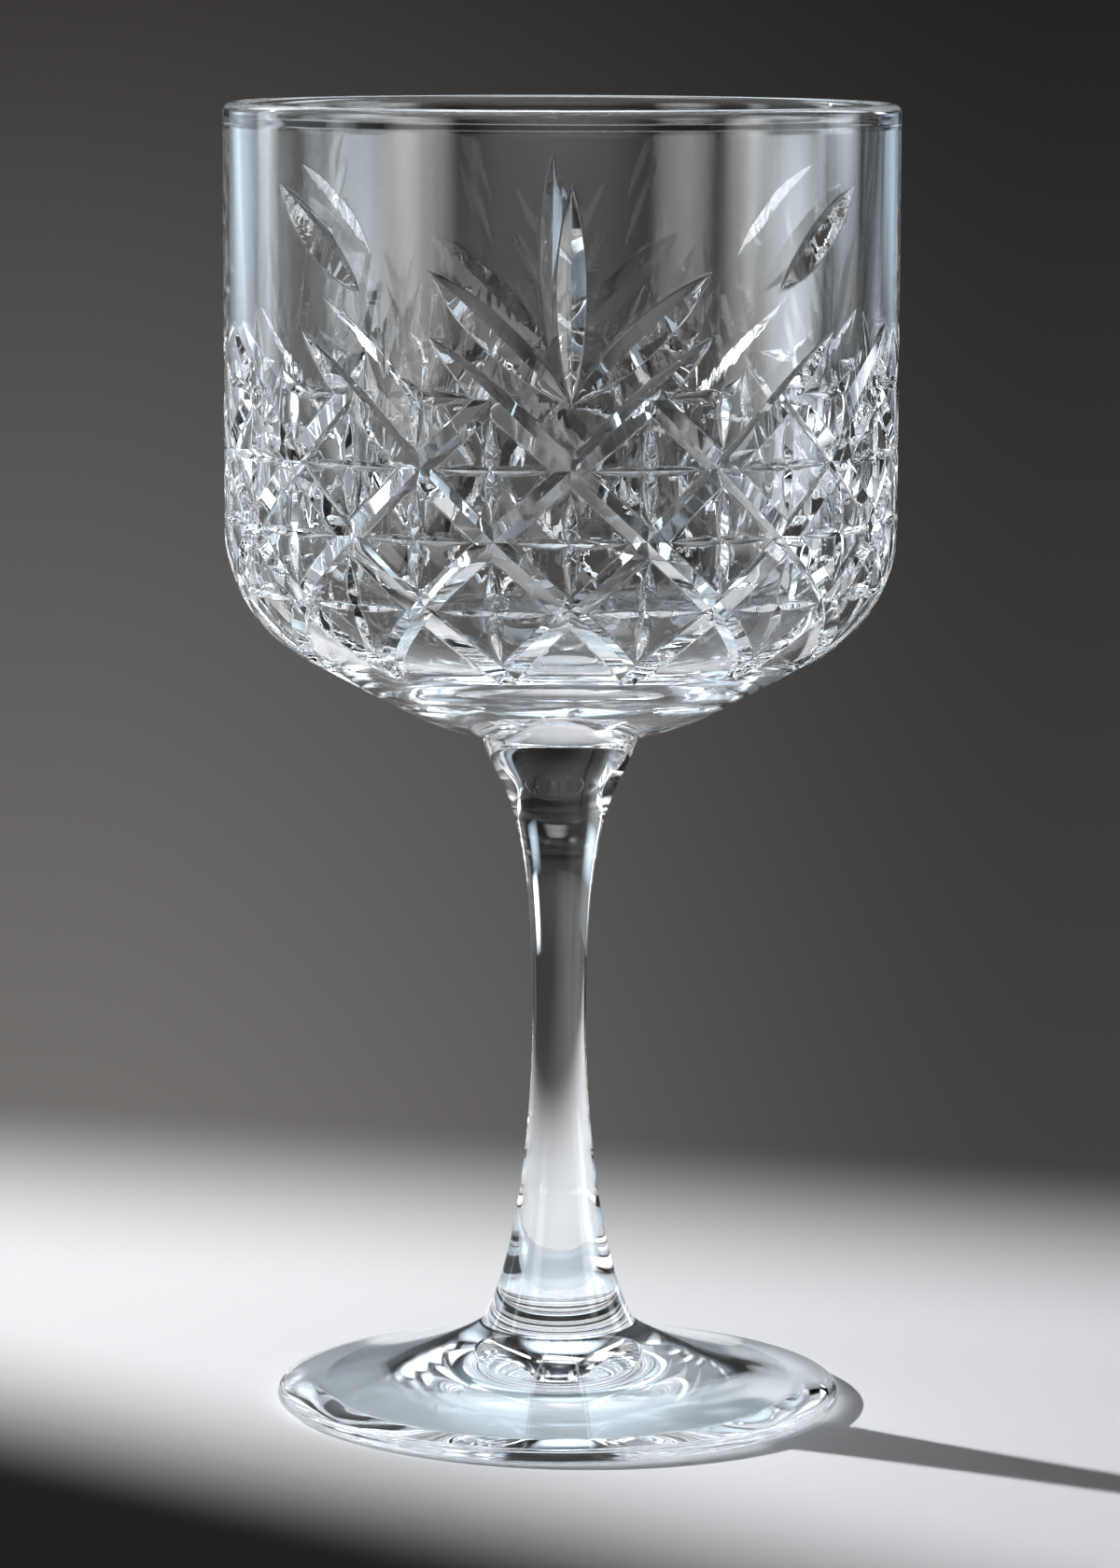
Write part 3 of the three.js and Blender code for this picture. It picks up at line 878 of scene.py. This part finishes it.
# How often light is followed through the glass, and through its clear joint faces
GLASS_BOUNCES = 64
JOINT_BOUNCES = 32

# Width of the camera's sensor in millimetres
SENSOR_WIDTH = 36


def calculate(nodes, links, operation, *values):
    """A calculation on two values, each given as a number or as a socket."""
    node = nodes.new("ShaderNodeMath")
    node.operation = operation
    for socket, value in zip(node.inputs, values):
        if isinstance(value, bpy.types.NodeSocket):
            links.new(value, socket)
        else:
            socket.default_value = value
    return node.outputs["Value"]


class FloorShader:
    """A pale floor with a painted band of light under the glass; beside the band, painted light fades into
    the dark.
    """

    def __init__(self, stage):
        self.material, self.nodes, self.links = new_material("floor")
        self.place = self.nodes.new("ShaderNodeTexCoord").outputs["Object"]
        self.from_axis = self.calculate_vector("LENGTH", self.place).outputs["Value"]
        # The band is a painted pool of light: outside it the floor has no colour for the key light to show.
        front = self.edge(*PAINTED_BAND_FRONT)
        band = self.product(front, self.edge(*PAINTED_BAND_BACK))
        # Painted falloff: the floor's colour darkens away from the key light.
        floor = self.mix(self.edge(*PAINTED_RISE_TO_KEY), stage.floor_painted_darker, stage.floor)
        # Painted fill glow, which the band keeps in shadow.
        in_shadow = [channel * stage.painted_fill_glow for channel in stage.floor]
        # Painted glow and shade under the glass, over the band's own glow.
        lit = self.mix(self.fade(self.from_axis, PAINTED_FOOT_GLOW_REACH), in_shadow, self.painted_glow_under_foot(stage))
        # Painted spill of light past the band.
        unlit = self.mix(front, stage.backdrop, self.painted_far_spill(stage))
        glow = self.nodes.new("ShaderNodeEmission")
        self.links.new(self.mix(band, unlit, lit), glow.inputs["Color"])
        diffuse = self.nodes.new("ShaderNodeBsdfDiffuse")
        self.links.new(self.mix(band, (0, 0, 0), floor), diffuse.inputs["Color"])
        both = self.nodes.new("ShaderNodeAddShader")
        self.links.new(glow.outputs["Emission"], both.inputs[0])
        self.links.new(diffuse.outputs["BSDF"], both.inputs[1])
        output = self.nodes.new("ShaderNodeOutputMaterial")
        self.links.new(both.outputs["Shader"], output.inputs["Surface"])

    def along(self, direction):
        """How far a place on the floor lies along a direction from the axis."""
        return self.calculate_vector("DOT_PRODUCT", self.place, direction).outputs["Value"]

    def edge(self, direction, none_to_full):
        """How far a tone has come up past an edge."""
        return self.fade(self.along(direction), none_to_full)

    def painted_glow_under_foot(self, stage):
        """Painted light under the glass, standing in for what it gathers: in swirls away from the key light,
        and under the stem, with painted shade on the key light's side.
        """
        swirls = self.nodes.new("ShaderNodeTexNoise")
        swirls.inputs["Scale"].default_value = SWIRLS_PER_METRE
        swirls.inputs["Detail"].default_value = SWIRL_LAYERS
        swirls.inputs["Distortion"].default_value = SWIRL_BEND
        self.links.new(self.place, swirls.inputs["Vector"])
        fray = self.product(self.calculate("SUBTRACT", swirls.outputs["Fac"], SWIRL_MEAN), PAINTED_FOOT_GLOW_FRAY)
        direction, none_to_full = PAINTED_FOOT_GLOW_EDGE
        gathered = self.fade(self.calculate("ADD", self.along(direction), fray), none_to_full)
        foot = self.mix(gathered, stage.painted_foot_shade, stage.painted_foot_glow)
        return self.mix(self.fade(self.from_axis, PAINTED_STEM_GLOW_REACH), foot, stage.painted_stem_glow)

    def painted_far_spill(self, stage):
        """Painted light that spills past the band: less with distance, and less towards the right."""
        nearness = self.calculate("DIVIDE", HAZE_REACH, self.calculate("ADD", self.from_axis, HAZE_REACH))
        parts = self.nodes.new("ShaderNodeSeparateXYZ")
        from_centre = self.calculate_vector("SUBTRACT", self.place, HAZE_CENTRE).outputs["Vector"]
        self.links.new(from_centre, parts.inputs["Vector"])
        hazy = self.fade(self.calculate("DIVIDE", parts.outputs["X"], parts.outputs["Y"]), HAZE_BEARING)
        near = self.mix(hazy, stage.dim, stage.haze)
        far = self.mix(hazy, stage.backdrop, stage.far_haze)
        return self.mix(nearness, far, near)

    def calculate_vector(self, operation, socket, vector=(0, 0, 0)):
        node = self.nodes.new("ShaderNodeVectorMath")
        node.operation = operation
        node.inputs[1].default_value = vector
        self.links.new(socket, node.inputs[0])
        return node

    def calculate(self, operation, first, second):
        return calculate(self.nodes, self.links, operation, first, second)

    def product(self, first, second):
        return self.calculate("MULTIPLY", first, second)

    def fade(self, value, none_to_full):
        """Rises smoothly from 0 to 1 between two values."""
        node = self.nodes.new("ShaderNodeMapRange")
        node.interpolation_type = "SMOOTHSTEP"
        node.inputs["From Min"].default_value, node.inputs["From Max"].default_value = none_to_full
        self.links.new(value, node.inputs["Value"])
        return node.outputs["Result"]

    def mix(self, factor, none, full):
        """Mixes two colours, each given as numbers or as a socket."""
        node = self.nodes.new("ShaderNodeMix")
        node.data_type = "RGBA"
        self.links.new(factor, node.inputs["Factor"])
        for socket, tint in ((node.inputs["A"], none), (node.inputs["B"], full)):
            if isinstance(tint, bpy.types.NodeSocket):
                self.links.new(tint, socket)
            else:
                socket.default_value = (*tint, 1)
        return node.outputs["Result"]


def hang(lamp):
    """Hangs a rectangular lamp that faces its aim, as bright as a surface of its radiance."""
    width, height = lamp.size
    bpy.ops.object.select_all(action="DESELECT")
    bpy.ops.object.light_add(type="AREA", location=lamp.place)
    light = bpy.context.object
    light.name = light.data.name = lamp.name
    light.rotation_euler = (Vector(lamp.aim) - Vector(lamp.place)).to_track_quat("-Z", "Y").to_euler()
    light.data.shape = "RECTANGLE"
    light.data.size = width
    light.data.size_y = height
    light.data.energy = lamp.radiance * math.pi * width * height
    light.data.color = lamp.tint
    light.visible_camera = False
    return light


def soften(light):
    """Lets a panel fade from its middle to its edges."""
    light.data.use_nodes = True
    nodes, links = light.data.node_tree.nodes, light.data.node_tree.links
    parts = nodes.new("ShaderNodeSeparateXYZ")
    links.new(nodes.new("ShaderNodeNewGeometry").outputs["Parametric"], parts.inputs["Vector"])
    humps = []
    for across in (parts.outputs["X"], parts.outputs["Y"]):
        rest = calculate(nodes, links, "SUBTRACT", 1, across)
        hump = calculate(nodes, links, "MULTIPLY", across, rest)
        humps.append(calculate(nodes, links, "MULTIPLY", hump, HUMP_SCALE))
    links.new(calculate(nodes, links, "MULTIPLY", *humps), nodes["Emission"].inputs["Strength"])


# Operators

class GINGLASS_OT_bowl(bpy.types.Operator):
    """Model the bowl: turn its blank, cut the pattern into it and give it its glass"""

    bl_idname = "ginglass.bowl"
    bl_label = "Bowl"

    def execute(self, context):
        settings = context.scene.gin_glass
        cuts = settings.cuts
        shape = BowlShape(settings.bowl)
        sides = SIDES_PER_COLUMN * cuts.fans * cuts.fan_columns
        bowl = turned_piece("bowl_glass", shape.points(), BOWL_LOW.z, sides)
        bowl.data.materials.append(pressed_glass(settings.finish))
        bowl.data.materials.append(fused_joint())
        mark_joint(bowl, BOWL_LOW.z)
        cutter = Cutter(shape, cuts, cut_glass(settings.finish))
        pattern = Pattern(cutter, cuts, settings.bowl.wall_radius)
        pattern.lay_net()
        pattern.lay_stars()
        pattern.lay_half_stars()
        pattern.lay_fans()
        cutter.cut(bowl)
        smooth(bowl, CUT_EDGE)
        weigh_normals(bowl)
        carry(bowl, "bowl")
        return {"FINISHED"}


class GINGLASS_OT_stem(bpy.types.Operator):
    """Model the stem: turn its slender outline and give it its glass"""

    bl_idname = "ginglass.stem"
    bl_label = "Stem"

    def execute(self, context):
        settings = context.scene.gin_glass
        stem = turned_piece("stem_glass", stem_points(settings.stem), STEM_LOW.z, STEM_SIDES)
        stem.data.materials.append(drawn_glass(settings.finish))
        stem.data.materials.append(bpy.data.materials["fused_joint"])
        mark_joint(stem, STEM_LOW.z, STEM_HIGH.z)
        smooth(stem, TURNED_EDGE)
        carry(stem, "stem")
        return {"FINISHED"}


class GINGLASS_OT_foot(bpy.types.Operator):
    """Model the foot: turn its low cone and give it its glass"""

    bl_idname = "ginglass.foot"
    bl_label = "Foot"

    def execute(self, context):
        settings = context.scene.gin_glass
        foot = turned_piece("foot_glass", foot_points(settings.foot), FOOT_LOW.z, FOOT_SIDES)
        foot.data.materials.append(flowing_glass(settings.finish))
        foot.data.materials.append(bpy.data.materials["fused_joint"])
        mark_joint(foot, FOOT_HIGH.z)
        smooth(foot, TURNED_EDGE)
        carry(foot, "foot")
        return {"FINISHED"}


class GINGLASS_OT_stage(bpy.types.Operator):
    """Set the floor, the lights and the camera"""

    bl_idname = "ginglass.stage"
    bl_label = "Stage"

    def execute(self, context):
        stage = context.scene.gin_glass.stage
        self.floor(stage)
        self.lights(stage)
        self.camera(stage)
        scene = context.scene
        scene.view_settings.view_transform = "Standard"
        scene.cycles.max_bounces = GLASS_BOUNCES
        scene.cycles.transmission_bounces = GLASS_BOUNCES
        scene.cycles.glossy_bounces = GLASS_BOUNCES
        scene.cycles.transparent_max_bounces = JOINT_BOUNCES
        return {"FINISHED"}

    def floor(self, stage):
        bpy.ops.object.select_all(action="DESELECT")
        bpy.ops.mesh.primitive_circle_add(
            vertices=FLOOR_SIDES, radius=FLOOR_RADIUS, fill_type="NGON", location=(0, 0, -FLOOR_DROP)
        )
        floor = bpy.context.object
        floor.name = floor.data.name = "floor"
        floor.data.materials.append(FloorShader(stage).material)
        floor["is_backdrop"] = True

    def lights(self, stage):
        world = bpy.data.worlds.new("backdrop")
        bpy.context.scene.world = world
        world.use_nodes = True
        world.node_tree.nodes["Background"].inputs["Color"].default_value = (*stage.backdrop, 1)
        hang(KEY)
        for panel in PANELS:
            light = hang(panel)
            light.visible_diffuse = False
            soften(light)

    def camera(self, stage):
        bpy.ops.object.camera_add()
        camera = bpy.context.object
        camera.name = camera.data.name = "camera"
        camera.data.lens = stage.lens
        camera.data.sensor_width = SENSOR_WIDTH
        turned = Matrix.Rotation(stage.azimuth, 4, "Z")
        placed = Matrix.Translation((0, -stage.distance, stage.height))
        pitched = Matrix.Rotation(-DOWN - stage.pitch, 4, "X")
        rolled = Matrix.Rotation(stage.roll, 4, "Z")
        camera.matrix_world = turned @ placed @ pitched @ rolled
        bpy.context.scene.camera = camera


class GINGLASS_PT_panel(bpy.types.Panel):
    """Lists the pieces of the glass and their settings"""

    bl_idname = "GINGLASS_PT_panel"
    bl_label = "Gin glass"
    bl_space_type = "VIEW_3D"
    bl_region_type = "UI"
    bl_category = "Gin glass"

    def draw(self, context):
        for operator in OPERATORS:
            self.layout.operator(operator.bl_idname)
        settings = context.scene.gin_glass
        for group_name in settings.bl_rna.properties.keys():
            group = getattr(settings, group_name)
            if isinstance(group, bpy.types.PropertyGroup):
                box = self.layout.box()
                box.label(text=type(group).__doc__)
                for setting in type(group).__annotations__:
                    box.prop(group, setting)


OPERATORS = (GINGLASS_OT_bowl, GINGLASS_OT_stem, GINGLASS_OT_foot, GINGLASS_OT_stage)
GROUPS = (BowlSizes, CutSizes, StemSizes, FootSizes, Finish, Stage, GinGlass)


def register():
    for kind in (*GROUPS, *OPERATORS, GINGLASS_PT_panel):
        bpy.utils.register_class(kind)
    bpy.types.Scene.gin_glass = PointerProperty(type=GinGlass)


def unregister():
    del bpy.types.Scene.gin_glass
    for kind in reversed((*GROUPS, *OPERATORS, GINGLASS_PT_panel)):
        bpy.utils.unregister_class(kind)


def main():
    register()
    bpy.ops.ginglass.bowl()
    bpy.ops.ginglass.stem()
    bpy.ops.ginglass.foot()
    bpy.ops.ginglass.stage()
    boxes = {"frame": FRAME_BOX, "dressed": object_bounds()}
    {name: [list(corner) for corner in box] for name, box in boxes.items()}


if __name__ == "__main__":
    main()
